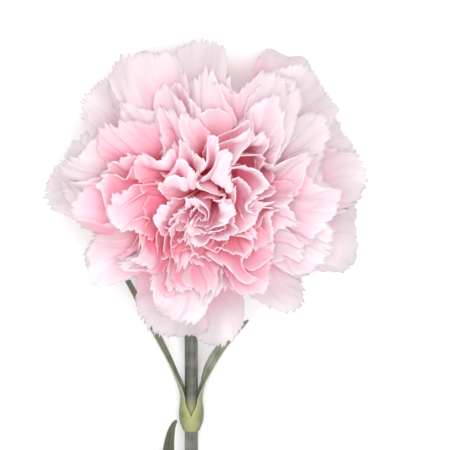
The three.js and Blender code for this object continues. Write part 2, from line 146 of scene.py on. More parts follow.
# Waves through all the petals at once. Ripples of the opening: height in radians, waves round
# the face, waves per radian of opening, phase; the last is finer than the solids'. Then sideways
# and upright waves: direction, length, height, phase.
RIPPLES = [(0.07, 8, 5, 0.4), (0.045, 13, -6, 2), (0.02, 29, 4, 1)]
SIDE_WAVES = [
    (10, 17, 1.6, 0.4),
    (72, 15, 1.4, 2.1),
    (131, 18, 1.6, 4),
    (48, 10.5, 0.8, 1),
    (160, 11.5, 0.8, 3),
]
UPRIGHT_WAVES = [(35, 19, 1.3, 0.9), (95, 16, 1, 2.6), (155, 21, 1.2, 5)]

# ---- Finer than the solids

# Narrower petals that fill the gaps between the rings: the same measures.
FILLERS = [
    (8, 31.5, 74, 11, 3, 1.2),
    (8, 30.5, 58, 10, 20, 1.1),
    (7, 30, 43, 9, 20, 1),
    (4, 29, 29, 8, 30, 0.9),
    (2, 29, 16, 9, 10, 0.8),
]
PETAL_THICKNESS = (0.4, 0.15)  # at the claw and at the rim
PETAL_GRID = (96, 27)  # columns across a petal and rows along it
FILLER_GRID = (64, 28)
ROW_SPACING = 0.85  # below 1 the rows crowd towards the rim
RIB_HEIGHT = 0.04
RUFFLE_HEIGHT = 0.45
TABLE_GAP = 0.03  # under a rim that rests
# The middle rings are a deeper pink all round, painted paler towards the lit side as a painted
# highlight, and painted a deeper pink away from it as painted shade.
TONED_RINGS = (2, 3, 4)
TONE_LOSS = 0.9
PAINTED_LIT_SIDE_TONE = 1.2
PAINTED_LIT_SIDE_DEG = 50


class Dice:
    """Seeded draws: each state is the last times 1664525 plus 1013904223, modulo 2 to the 32.

    The first three are thrown away. A draw is the state over 2 to the 32.
    """

    def __init__(self, seed):
        self.state = seed
        for _ in range(3):
            self.roll()

    def roll(self):
        self.state = (self.state * 1664525 + 1013904223) % 2**32
        return self.state / 2**32

    def span(self, low, high):
        return low + (high - low) * self.roll()


def smoothstep(x, low, high):
    """0 below low, 1 above high, and t * t * (3 - 2 * t) between them."""
    t = np.clip((x - low) / (high - low), 0, 1)
    return t * t * (3 - 2 * t)


def lerp(a, b, share):
    """From a at share 0 to b at share 1: a + (b - a) * share."""
    return a + (b - a) * share


# ---- From the head's own frame to the table


def bend_neck(x, y, z):
    """Turns points about the neck's hinge, by Rodrigues' rule.

    The angle is the full lean near the heart and falls to none as a smoothstep of the distance
    from it. Depth below the heart doesn't count in that distance.
    """
    towards = math.radians(NECK_LEAN_TOWARDS_DEG)
    hinge_x, hinge_y = -math.sin(towards), math.cos(towards)
    distance = np.sqrt(x * x + y * y + np.maximum(z, 0) ** 2)
    angle = math.radians(NECK_LEAN_DEG) * (1 - smoothstep(distance, *NECK_LEAN_ENDS))
    cos, sin = np.cos(angle), np.sin(angle)
    kept = (hinge_x * x + hinge_y * y) * (1 - cos)
    return (
        x * cos + hinge_y * z * sin + hinge_x * kept,
        y * cos - hinge_x * z * sin + hinge_y * kept,
        z * cos + (hinge_x * y - hinge_y * x) * sin,
    )


def on_table(x, y, z):
    """Leans the face's axis from vertical towards +Y and lifts the heart to its height."""
    cos, sin = math.cos(math.radians(FACE_LEAN_DEG)), math.sin(math.radians(FACE_LEAN_DEG))
    return np.stack([x, y * cos + z * sin, z * cos - y * sin + HEART_HEIGHT], -1)


def head_place(x, height, z):
    """A point of a part turned about the calyx's axis, with its height measured along it."""
    return on_table(*bend_neck(x, -z, height))


# ---- Petals


def petal_list(seed, guards, rings):
    """Every petal's measures: the outer ones, then the rings, then each one's own draws.

    An inner petal on the stem's side opens less and is shorter, by shares that grow as the sine
    of its direction towards the stem.
    """
    dice = Dice(seed)
    petals = [
        dict(direction=d, reach=r, opening=o, half_width=w, teeth=GUARD_TEETH, ring=0)
        for d, r, o, w in guards
    ]
    for ring, (count, reach, opening, half_width, start, teeth) in enumerate(rings, 1):
        for i in range(count):
            petals.append(
                dict(
                    direction=start + 360 * (i + dice.span(-0.12, 0.12)) / count,
                    reach=reach * dice.span(0.95, 1.05),
                    opening=opening,
                    half_width=half_width * dice.span(0.92, 1.1),
                    teeth=teeth,
                    ring=ring,
                )
            )
    for petal in petals:
        guard = petal["ring"] == 0
        petal["shingle"] = dice.span(0.5, 1.5) if guard else dice.span(3.5, 5)
        petal["curl"] = dice.span(*CURLS[petal["ring"]])
        petal["pleats"] = dice.span(1.2, 2.4)
        petal["pleat_phase"] = dice.span(0, TURN)
        petal["pleat_depth"] = dice.span(0.3, 0.7)
        petal["jag"] = dice.span(0, 100)
        petal["shoulder"] = dice.span(0.16, 0.3)
        petal["slant"] = dice.span(-0.08, 0.08)
        petal["tone"] = dice.roll()
        petal["teeth"] *= dice.span(0.8, 1.2)
        petal["cup"] = dice.span(-1, 3) if guard else dice.span(0, 6)
        petal["pleat_depth"] *= PLEATING[petal["ring"]]
        # Painted light: middle-ring petals are drawn paler towards the lit side, a painted
        # highlight, and a deeper pink away from it, painted shade.
        if petal["ring"] in TONED_RINGS:
            painted_lit_side = math.cos(math.radians(petal["direction"] - PAINTED_LIT_SIDE_DEG))
            petal["tone"] += PAINTED_LIT_SIDE_TONE * painted_lit_side - TONE_LOSS
        towards_stem = max(0, -math.sin(math.radians(petal["direction"])))
        if not guard:
            petal["opening"] *= 1 - STEM_SIDE_LIFT * towards_stem
            petal["reach"] *= 1 - STEM_SIDE_LOSS * towards_stem
    return petals


def tooth_phase(petal, u):
    """Where u falls in the row of teeth, counted in teeth: u times the count on half the petal,
    plus two sines of u that make their widths uneven."""
    seed = petal["jag"]
    per_half = TEETH_PER_HALF + 1.5 * math.sin(3.1 * seed)
    per_half = per_half * petal["half_width"] / USUAL_HALF_WIDTH
    return u * per_half + 0.35 * np.sin(9 * u + seed) + 0.2 * np.sin(23 * u + 2 * seed) + seed


def rim_teeth(petal, u):
    """Saw teeth that reach up to 1: a zigzag whose peak wanders, mixed 7 to 3 with a faster
    sine, all times a slow wave across the rim between 0.55 and 1."""
    seed = petal["jag"]
    peak = 0.5 + 0.3 * np.sin(seed + 3 * u)
    saw = 1 - 2 * np.abs(tooth_phase(petal, u) % 1 - peak)
    saw = 0.7 * saw + 0.3 * np.sin(TURN * tooth_phase(petal, u) * 2.3 + seed)
    return saw * (0.55 + 0.45 * (0.5 + 0.5 * np.sin(6.3 * u + 1.7 * seed)))


def rim_at(petal, u):
    """Distance of the rim from the heart.

    The reach is taken times 1, less the shoulder times |u| to the power 2.4, plus a slant along u,
    less a bell curve of the direction at each short side. Low lobes and the teeth come on top.
    """
    outline = 1 - petal["shoulder"] * np.abs(u) ** 2.4 + petal["slant"] * u
    facing = petal["direction"] + np.degrees(u * petal["half_width"] / petal["reach"])
    for direction, share, spread in SHORT_SIDES:
        aside = (facing - direction + 180) % 360 - 180
        outline = outline - share * np.exp(-((aside / spread) ** 2))
    lobes = 0.9 * np.sin(4.3 * u + 2.2 * petal["jag"])
    return petal["reach"] * outline + lobes + (rim_teeth(petal, u) - 0.8) * petal["teeth"]


def crease(turn):
    """A wave with straighter flanks and tighter bends than a sine: the arcsine of CREASING times
    the sine, over the arcsine of CREASING."""
    return np.arcsin(CREASING * np.sin(turn)) / math.asin(CREASING)


def petal_point(petal, u, distance):
    """A fan from the claw laid on a cone that opens outwards with the distance from the heart.

    The angle from the axis grows from the mouth's to the petal's own, as a power of the way out
    that is a root for upright petals and straight for spread ones. A slope and a parabola across
    the petal make neighbours shingle and cup it. The curl and the roll add smoothsteps towards
    the rim. Creased pleats, ribs in step with the teeth and a slower frill are heights off the
    cone, so they are divided by the distance. Sideways, the fan's arc is laid round the axis.
    """
    along = np.maximum(distance - PETAL_ROOT, 0) / (petal["reach"] - PETAL_ROOT)
    fan = 0.25 * along + 0.75 * smoothstep(along, *FAN_ENDS)
    claw = CLAW_HALF_WIDTH * np.minimum(distance / PETAL_ROOT, 1)
    lateral = u * (claw + (petal["half_width"] - CLAW_HALF_WIDTH) * fan)
    mouth = MOUTH_OPENING[0] + MOUTH_OPENING[1] * petal["opening"] / WIDEST_OPENING
    opened = np.maximum(distance - MOUTH_DISTANCE, 0) / (FULL_REACH - MOUTH_DISTANCE)
    spread = 0.5 + 0.55 * smoothstep(petal["opening"], 50, 95)
    shape = petal["shingle"] * u - petal["cup"] * (u * u - 0.33)
    roll = ROLLS[petal["ring"]] * (0.6 + 0.4 * np.sin(2.6 * u + petal["jag"]))
    angle = (
        mouth
        + (petal["opening"] - mouth) * opened**spread
        + shape * (0.25 + 0.75 * smoothstep(distance, *SHAPE_ENDS))
        + petal["curl"] * smoothstep(along, *CURL_ENDS) ** 1.3
        + roll * smoothstep(along, *ROLL_ENDS)
    )
    pleat = crease(u * TURN * petal["pleats"] / 2 + petal["pleat_phase"])
    pleat = petal["pleat_depth"] * pleat * smoothstep(along, *PLEAT_ENDS) ** 1.3
    teeth = TURN * tooth_phase(petal, u)
    ribs = RIB_HEIGHT * np.cos(teeth) * smoothstep(along, *RIB_ENDS)
    frill = np.sin(teeth / 2.1 + 1.3 * petal["jag"])
    ribs = ribs + RUFFLE_HEIGHT * frill * smoothstep(along, *RUFFLE_ENDS)
    angle = np.radians(angle) + (pleat + ribs) / distance
    radius = distance * np.sin(angle)
    round_face = math.radians(petal["direction"]) + lateral / (np.abs(radius) + RIM_SLACK)
    return radius * np.cos(round_face), radius * np.sin(round_face), distance * np.cos(angle)


def fold(x, y, z):
    """Bends every petal by the same waves, so that neighbours fold together and don't cross.

    In spherical coordinates the opening gets sines of the direction and of itself. Then creased
    waves push points sideways, each along its own direction and by its height there, most in a
    belt round the rosette. Sines of the place lift and lower them, and the top slides over.
    """
    distance = np.sqrt(x * x + y * y + z * z)
    aside = np.hypot(x, y)
    round_face = np.arctan2(y, x)
    angle = np.arctan2(aside, z)
    ripple = sum(
        height * np.sin(turns * round_face + rate * angle + phase)
        for height, turns, rate, phase in RIPPLES
    )
    angle = angle + ripple * smoothstep(aside, *RIPPLE_ENDS)
    x = distance * np.sin(angle) * np.cos(round_face)
    y = distance * np.sin(angle) * np.sin(round_face)
    z = distance * np.cos(angle)
    free = smoothstep(distance, *WAVE_ENDS)
    grown, faded = (smoothstep(aside, *ends) for ends in CRUMPLE_BELT)
    crumple = free * (0.15 + 0.85 * grown - 0.85 * faded)
    for towards, length, height, phase in SIDE_WAVES:
        cos, sin = math.cos(math.radians(towards)), math.sin(math.radians(towards))
        across = TURN * (cos * y - sin * x) / length + phase + 0.07 * z
        shift = height * crumple * crease(across)
        x, y = x + cos * shift, y + sin * shift
    for towards, length, height, phase in UPRIGHT_WAVES:
        cos, sin = math.cos(math.radians(towards)), math.sin(math.radians(towards))
        z = z + height * free * np.sin(TURN * (cos * x + sin * y) / length + phase)
    raised = smoothstep(z, 2, 26)
    return x + HEART_SLIDE[0] * raised, y + HEART_SLIDE[1] * raised, z


def flatten(points, lowest):
    """Presses what would sink below lowest against it, by a soft maximum.

    With h the height above lowest in press widths, it becomes log(1 + exp(h)), which from far
    above, 12 widths, is h itself.
    """
    far = 12
    height = np.minimum((points[..., 2] - lowest) / PRESS_WIDTH, far)
    points = points.copy()
    pressed = lowest + PRESS_WIDTH * np.log1p(np.exp(height))
    points[..., 2] = np.where(height < far, pressed, points[..., 2])
    return points


def petal_sheet(petal, columns, rows):
    """One petal as a closed sheet, with its own coordinates for the colours.

    u runs across it from -1 to 1 and v from claw to rim, between which the distance from the
    heart is straight in v. It thins in step with that distance.
    """
    u, v = np.meshgrid(np.linspace(-1, 1, columns), np.linspace(0, 1, rows) ** ROW_SPACING)
    distance = lerp(CLAW_START, rim_at(petal, u), v)
    middle = on_table(*bend_neck(*fold(*petal_point(petal, u, distance))))
    along = (distance - PETAL_ROOT) / (petal["reach"] - PETAL_ROOT)
    thickness = lerp(*PETAL_THICKNESS, np.clip(along, 0, 1))
    lowest = PETAL_THICKNESS[1] / 2 + TABLE_GAP
    points, faces = closed_sheet(flatten(middle, lowest), thickness)
    marks = {
        "across": np.tile(u.ravel(), 2),
        "along": np.tile(along.ravel(), 2),
        "rim": np.tile(v.ravel(), 2),
        "tone": np.full(len(points), petal["tone"]),
        "seed": np.full(len(points), petal["jag"]),
    }
    return points, [faces], marks


# ---- Closed meshes


def closed_sheet(middle, thickness):
    """Upper and under sides half a thickness off the middle surface, and a band round the edge."""
    normal = np.cross(np.gradient(middle, axis=1), np.gradient(middle, axis=0))
    normal /= np.linalg.norm(normal, axis=-1, keepdims=True) + 1e-12
    offset = normal * thickness[..., None] / 2
    rows, columns = thickness.shape
    index = np.arange(rows * columns).reshape(rows, columns)
    a, b, c, d = index[:-1, :-1], index[:-1, 1:], index[1:, 1:], index[1:, :-1]
    upper = np.stack([a, b, c, d], -1).reshape(-1, 4)
    under = np.stack([d, c, b, a], -1).reshape(-1, 4) + index.size
    edge = np.concatenate([index[0], index[1:, -1], index[-1, -2::-1], index[-2:0:-1, 0]])
    beyond = np.roll(edge, -1)
    band = np.stack([beyond, edge, edge + index.size, beyond + index.size], -1)
    points = np.concatenate([(middle + offset).reshape(-1, 3), (middle - offset).reshape(-1, 3)])
    return points, np.concatenate([upper, under, band])


def closed_tube(rings):
    """Rings of points, row by row, joined all round, with a fan over the first and last ring."""
    rows, columns = rings.shape[:2]
    index = np.arange(rows * columns).reshape(rows, columns)
    beyond = np.roll(index, -1, axis=1)
    wall = np.stack([index[:-1], beyond[:-1], beyond[1:], index[1:]], -1).reshape(-1, 4)
    first, last = rows * columns, rows * columns + 1
    start = np.stack([beyond[0], index[0], np.full(columns, first)], -1)
    end = np.stack([index[-1], beyond[-1], np.full(columns, last)], -1)
    poles = np.stack([rings[0].mean(0), rings[-1].mean(0)])
    return np.concatenate([rings.reshape(-1, 3), poles]), [wall, start, end]


def joined(parts):
    """Several (points, face lists, marks) as one."""
    points, faces, marks, count = [], [], {}, 0
    for part_points, part_faces, part_marks in parts:
        points.append(part_points)
        faces += [face + count for face in part_faces]
        count += len(part_points)
        for name, values in part_marks.items():
            marks.setdefault(name, []).append(values)
    marks = {name: np.concatenate(values) for name, values in marks.items()}
    return np.concatenate(points), faces, marks


def add_piece(name, part, material, node):
    """A mesh object at the origin that rides on the root body in place of one of the solids.

    Its marks, values by point, become attributes for its finish.
    """
    points, faces, marks = part
    sizes = np.concatenate([np.full(len(face), face.shape[1]) for face in faces])
    corners = np.concatenate([face.ravel() for face in faces])
    mesh = bpy.data.meshes.new(name)
    mesh.vertices.add(len(points))
    mesh.vertices.foreach_set("co", ((points + to_row) * MM).astype(np.float32).ravel())
    mesh.loops.add(len(corners))
    mesh.loops.foreach_set("vertex_index", corners.astype(np.int32))
    mesh.polygons.add(len(sizes))
    starts = np.concatenate([[0], np.cumsum(sizes)[:-1]]).astype(np.int32)
    mesh.polygons.foreach_set("loop_start", starts)
    mesh.polygons.foreach_set("use_smooth", np.ones(len(sizes), bool))
    mesh.update(calc_edges=True)
    for mark, values in marks.items():
        attribute = mesh.attributes.new(mark, "FLOAT", "POINT")
        attribute.data.foreach_set("value", values.astype(np.float32))
    mesh.materials.append(material)
    piece = bpy.data.objects.new(name, mesh)
    bpy.context.scene.collection.objects.link(piece)
    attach(piece, "root")
    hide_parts(node)


# ---- Stem

STEM_END = np.array([-3.2, -155, 1.75])
STEM_TURN = np.array([-4, -30, 3.4])  # where the neck starts to rise
# The curves' handles: off the cut, off the turn on its two sides, and along the calyx's axis.
CUT_HANDLE = [-1.8, 40, 3.6]
TURN_HANDLES = ([0.4, -40, 1.8], [0.15, 10, -0.5])
NECK_HANDLE = 7
STEM_RADIUS = (1.75, 1.5)  # at the cut and at the neck
JOINTS = [(46, 0.5), (95, 0.35)]  # distance from the cut, swelling
JOINT_SPREAD = 2.6
COLLAR = (0.5, 3)  # how far it stands out under the calyx, and its length
CALYX_FOOT = -16.4  # height along the calyx's axis, from the heart
CLEARANCE = 0.3
STEM_COLUMNS = 64
STEM_STEP = 0.6
CUT_BEVEL = 0.08
CUT_SHARES = [0.35, 0.7, 0.96]  # of the radius: the rings of the cut face, up to its bevel
NECK_SHARE = 0.5  # and the ring that closes the stem under the calyx


def bezier(a, b, c, d, count=400):
    """Points of a cubic curve from a to d, whose weights are the terms of ((1 - t) + t) cubed."""
    t = np.linspace(0, 1, count)[:, None]
    s = 1 - t
    return s**3 * a + 3 * s * s * t * b + 3 * s * t * t * c + t**3 * d


class Line:
    """A polyline that gives its points and directions by distance along it."""

    def __init__(self, points):
        self.points = points
        steps = np.linalg.norm(np.diff(points, axis=0), axis=1)
        self.distance = np.concatenate([[0], np.cumsum(steps)])
        self.length = self.distance[-1]
        tangent = np.gradient(points, self.distance, axis=0)
        self.tangent = tangent / np.linalg.norm(tangent, axis=1, keepdims=True)

    def between(self, values, distance):
        return np.stack([np.interp(distance, self.distance, values[:, i]) for i in range(3)], -1)

    def at(self, distance):
        return self.between(self.points, distance)

    def along(self, distance):
        return self.between(self.tangent, distance)


def stem_line():
    """Two cubic curves: along the table, then up into the foot of the calyx."""
    foot = head_place(0, CALYX_FOOT - CLEARANCE, 0)
    axis = head_place(0, CALYX_FOOT + 1, 0) - head_place(0, CALYX_FOOT, 0)
    before, after = (STEM_TURN + handle for handle in TURN_HANDLES)
    lying = bezier(STEM_END, STEM_END + CUT_HANDLE, before, STEM_TURN)
    rising = bezier(STEM_TURN, after, foot - NECK_HANDLE * axis, foot)
    return Line(np.concatenate([lying, rising[1:]]))


stem_curve = stem_line()


def stem_radius(distance):
    """A straight taper, a bell curve at each joint and a smoothstep collar under the calyx."""
    end = stem_curve.length
    radius = lerp(*STEM_RADIUS, distance / end)
    for joint, swelling in JOINTS:
        radius = radius + swelling * np.exp(-(((distance - joint) / JOINT_SPREAD) ** 2))
    return radius + COLLAR[0] * smoothstep(distance, end - COLLAR[1], end)


def beside_stem(distance, aside, above):
    """Points by the stem: moved to its right, which is +X made square to it, and up from it."""
    tangent = stem_curve.along(distance)
    right = np.array([1.0, 0, 0]) - tangent * tangent[..., :1]
    right /= np.linalg.norm(right, axis=-1, keepdims=True)
    upward = np.cross(right, tangent)
    return stem_curve.at(distance) + right * aside[..., None] + upward * above[..., None]


def stem_part():
    """Circles square to the stem, closed by a flat face at the cut and another at the neck."""
    end = stem_curve.length
    body = np.concatenate([[0, 0, 0, CUT_BEVEL], np.arange(0.5, end, STEM_STEP), [end, end]])
    share = np.ones(len(body))
    share[: len(CUT_SHARES)] = CUT_SHARES
    share[-1] = NECK_SHARE
    turn = np.linspace(0, TURN, STEM_COLUMNS, endpoint=False)
    distance, turn = np.meshgrid(body, turn, indexing="ij")
    radius = stem_radius(distance) * share[:, None]
    rings = beside_stem(distance, radius * np.cos(turn), radius * np.sin(turn))
    points, faces = closed_tube(rings)
    turns = np.tile(np.arange(STEM_COLUMNS) / STEM_COLUMNS, len(body))
    marks = {
        "stretch": np.concatenate([distance.ravel(), [0, end]]),
        "core": np.concatenate([np.repeat(share, STEM_COLUMNS), [0, 0]]),
        "turn": np.concatenate([turns, [0, 0]]),
    }
    return points, faces, marks


# ---- Calyx and bracts

CALYX_FOOT_RADIUS = 3.1
CALYX_SWELLING = 3.4
CALYX_WALL = (0.35, 0.9)  # at the mouth, and from the heart's height down
CALYX_FLOOR = -14.2
CALYX_MOUTH = 5.4  # height of the notches between the teeth
FOOT_RINGS = [(0, 1.2), (0, 2.3), (0.3, 3.6)]  # height above the foot, radius
FLOOR_RADIUS = 1.5
CALYX_ROWS = (44, 24)  # up the outside and down the inside
CALYX_COLUMNS = 180
CALYX_RIBS = 30
CALYX_RIB_HEIGHT = 0.06
TOOTH_COUNT = 5
TOOTH_HEIGHT = 2.9
TOOTH_BASE = 4  # below the mouth
TOOTH_FLARE = 0.16
# The scales at the calyx's foot: direction, length, distance off the calyx.
BRACTS = [(20, 9, 0.25), (200, 9, 0.25), (110, 7.5, 0.75), (290, 7.5, 0.75)]
BRACT_THICKNESS = 0.6
BRACT_HALF_DEG = 62
BRACT_RISE = 0.4  # of its lower edge above the calyx's foot
BRACT_GRID = (41, 40)


def calyx_radius(height):
    """The foot's radius, swelling up to the mouth as a quarter sine to the power 0.6."""
    up = (height - CALYX_FOOT) / (CALYX_MOUTH - CALYX_FOOT)
    return CALYX_FOOT_RADIUS + CALYX_SWELLING * np.sin(np.clip(up, 0, 1.1) * math.pi / 2) ** 0.6


def calyx_part():
    """A turned wall, up the outside and down the inside, whose rim is drawn up into teeth.

    Near the mouth a zigzag round the wall, to the power 0.85, pulls it up and outwards, and a
    cosine round it gives it ribs.
    """
    outer = np.linspace(CALYX_FOOT + 1, CALYX_MOUTH, CALYX_ROWS[0])
    inner = np.linspace(CALYX_MOUTH, CALYX_FLOOR, CALYX_ROWS[1])
    rise, foot = np.array(FOOT_RINGS).T
    height = np.concatenate([CALYX_FOOT + rise, outer, inner, [CALYX_FLOOR]])
    wall = lerp(*CALYX_WALL, smoothstep(-inner, -CALYX_MOUTH, 0))
    inside = np.append(calyx_radius(inner) - wall, FLOOR_RADIUS)
    radius = np.concatenate([foot, calyx_radius(outer), inside])
    turn = np.arange(CALYX_COLUMNS) / CALYX_COLUMNS
    height, turn = np.meshgrid(height, turn, indexing="ij")
    tooth = 1 - np.abs(2 * (TOOTH_COUNT * (1 - turn) % 1) - 1)
    pull = smoothstep(height, CALYX_MOUTH - TOOTH_BASE, CALYX_MOUTH) * tooth**0.85
    ribs = CALYX_RIB_HEIGHT * np.cos(TURN * turn * CALYX_RIBS)
    ribs = ribs * smoothstep(height, CALYX_FOOT, CALYX_FOOT + 5)
    radius = (radius[:, None] + ribs) * (1 + TOOTH_FLARE * pull)
    raised = height + TOOTH_HEIGHT * pull
    rings = head_place(radius * np.cos(TURN * turn), raised, -radius * np.sin(TURN * turn))
    points, faces = closed_tube(rings)
    up = (raised - CALYX_FOOT) / (CALYX_MOUTH + TOOTH_HEIGHT - CALYX_FOOT)
    margin = np.clip(1 - (CALYX_MOUTH - height) / TOOTH_BASE, 0, 1)
    marks = {"up": up, "turn": turn, "margin": margin}
    marks = {name: np.concatenate([values.ravel(), [0, 0]]) for name, values in marks.items()}
    return points, faces, marks


def bract_part(direction, length, lift):
    """A scale that follows the calyx's foot and narrows to a short point.

    Its half angle round the calyx is 1 - v**2.1, to the power 0.62, of the widest, where v goes
    from 0 at its foot to 1 at its tip. It thins towards its sides and its tip.
    """
    columns, rows = BRACT_GRID
    u, v = np.meshgrid(np.linspace(-1, 1, columns), np.linspace(0, 1, rows))
    height = CALYX_FOOT + BRACT_RISE + length * v
    half_angle = math.radians(BRACT_HALF_DEG) * (1 - v**2.1) ** 0.62 + 0.05 * (1 - v)
    turn = math.radians(direction) + u * half_angle
    radius = calyx_radius(np.maximum(height, CALYX_FOOT + 1)) + lift - 0.2 * u * u
    middle = head_place(radius * np.cos(turn), height, radius * np.sin(turn))
    thickness = BRACT_THICKNESS * (1 - 0.6 * np.abs(u) ** 3) * (1 - 0.4 * v)
    points, faces = closed_sheet(middle, thickness)
    marks = {
        "up": np.tile(v.ravel() * 0.45, 2),
        "turn": np.tile(u.ravel() * 0.1, 2),
        "margin": np.tile(np.maximum(np.abs(u), v).ravel() ** 4, 2),
    }
    return points, [faces], marks


# ---- Leaves

LEAF_THICKNESS = 0.6
SHEATH_GAP = 0.45
SHEATH_LENGTH = 8
SHEATH_SHARE = 0.3  # of the leaf's rows
SHEATH_HALF_DEG = (91, 52)  # at the foot and where the blade leaves
CHANNEL_RADIUS = 4
KEEL_HEIGHT = 0.18
KEEL_WIDTH = 0.16  # in half widths
LEAF_ROWS = (30, 90)  # in the sheath and in the blade
LEAF_COLUMNS = 33
# Name, joint, side, half width, twist in degrees, the curve's two handles and its tip.
LEAVES = [
    ("leaf_upper_left", 1, -1, 1.5, 22, (-6.4, -50, 5), (-13.5, -36, 9), (-24, -15, 7)),
    ("leaf_upper_right", 1, 1, 1.4, 50, (-1, -51, 4.5), (0.5, -43, 8), (9.5, -34, 11)),
    ("leaf_lower_left", 0, -1, 2.5, 68, (-9.5, -96, 4), (-11.5, -63, 9), (-7.4, -60.5, 8)),
    ("leaf_lower_right", 0, 1, 2.4, 60, (0.5, -95, 5), (14, -80, 11), (31, -85, 2)),
]


def turned_about(vectors, axis, angle):
    """Rodrigues' rule: v cos a + (axis x v) sin a + axis (axis . v) (1 - cos a)."""
    cos, sin = np.cos(angle)[:, None], np.sin(angle)[:, None]
    kept = axis * (axis * vectors).sum(-1, keepdims=True) * (1 - cos)
    return vectors * cos + np.cross(axis, vectors) * sin + kept


def leaf_part(joint, side, half_width, twist, *curve):
    """A half sheath round the joint, then an arc-shaped blade along a cubic curve to the tip.

    v runs from 0 at the foot, past SHEATH_SHARE where the blade leaves, to 1 at the tip, and u
    from -1 to 1 across. Each row is an arc of the channel's radius about the spine, as wide as
    the half width times the square root of 1 - 0.985 times the way out to the power 2.2, and
    raised along the middle by a bell curve, the keel.
    """
    start = JOINTS[joint][0] - SHEATH_LENGTH / 2
    end = np.array(start + SHEATH_LENGTH)

    def hold(distance):
        """Half a blade off the stem's skin, and drawn in to it at the sheath's foot."""
        off = (SHEATH_GAP + LEAF_THICKNESS / 2) * smoothstep(distance - start, -1, 2.5)
        return stem_radius(distance) + off

    foot = beside_stem(end, side * hold(end), np.array(0.0))
    blade = Line(bezier(foot, *(np.array(point) for point in curve)))
    sheath_v = np.linspace(0, SHEATH_SHARE, LEAF_ROWS[0])[:-1]
    v = np.concatenate([sheath_v, np.linspace(SHEATH_SHARE, 1, LEAF_ROWS[1])])
    sheathed = (v < SHEATH_SHARE)[:, None]
    distance = start + SHEATH_LENGTH * np.minimum(v, SHEATH_SHARE) / SHEATH_SHARE
    out = np.maximum(v - SHEATH_SHARE, 0) / (1 - SHEATH_SHARE)
    by_stem = beside_stem(distance, side * hold(distance), np.zeros_like(v))
    spine = np.where(sheathed, by_stem, blade.at(out * blade.length))
    tangent = np.where(sheathed, stem_curve.along(distance), blade.along(out * blade.length))
    back = side * (np.array([1.0, 0, 0]) - tangent * tangent[:, :1])
    back /= np.linalg.norm(back, axis=1, keepdims=True)
    back = turned_about(back, tangent, side * math.radians(twist) * smoothstep(out, 0, 0.5))
    sideways = np.cross(tangent, back)
    radius = lerp(hold(distance), CHANNEL_RADIUS, smoothstep(out, 0, 0.4))
    taper = np.sqrt(1 - 0.985 * out**2.2)
    wrap = np.radians(lerp(*SHEATH_HALF_DEG, smoothstep(v, 0.45 * SHEATH_SHARE, SHEATH_SHARE)))
    half = lerp(radius * wrap, half_width, smoothstep(out, 0, 0.15))
    u = np.linspace(-1, 1, LEAF_COLUMNS)
    turn = u * (half * taper / radius)[:, None]
    keel = KEEL_HEIGHT * np.exp(-((u / KEEL_WIDTH) ** 2)) * smoothstep(out, 0, 0.2)[:, None]
    middle = (
        spine[:, None]
        + back[:, None] * (radius[:, None] * (np.cos(turn) - 1) + keel)[..., None]
        + sideways[:, None] * (radius[:, None] * np.sin(turn))[..., None]
    )
    thickness = LEAF_THICKNESS * (1 - 0.55 * u**2)[None] * (1 - 0.3 * out)[:, None]
    points, faces = closed_sheet(middle, thickness)
    grid_u, grid_v = np.meshgrid(u, v)
    marks = {"across": np.tile(grid_u.ravel(), 2), "along": np.tile(grid_v.ravel(), 2)}
    return points, [faces], marks


# ---- Materials


class Value:
    """A number socket in an expression: each operator adds a Math node to its material."""

    def __init__(self, finish, socket):
        self.finish = finish
        self.socket = socket

    def math(self, operation, *others):
        inputs = dict(enumerate((self, *others)))
        return self.finish.node("ShaderNodeMath", {"operation": operation}, inputs)

    def __add__(self, other):
        return self.math("ADD", other)

    __radd__ = __add__

    def __mul__(self, other):
        return self.math("MULTIPLY", other)

    __rmul__ = __mul__

    def __sub__(self, other):
        return self.math("SUBTRACT", other)

    def __rsub__(self, other):
        return (self * -1) + other

    def sine(self):
        return self.math("SINE")

    def absolute(self):
        return self.math("ABSOLUTE")


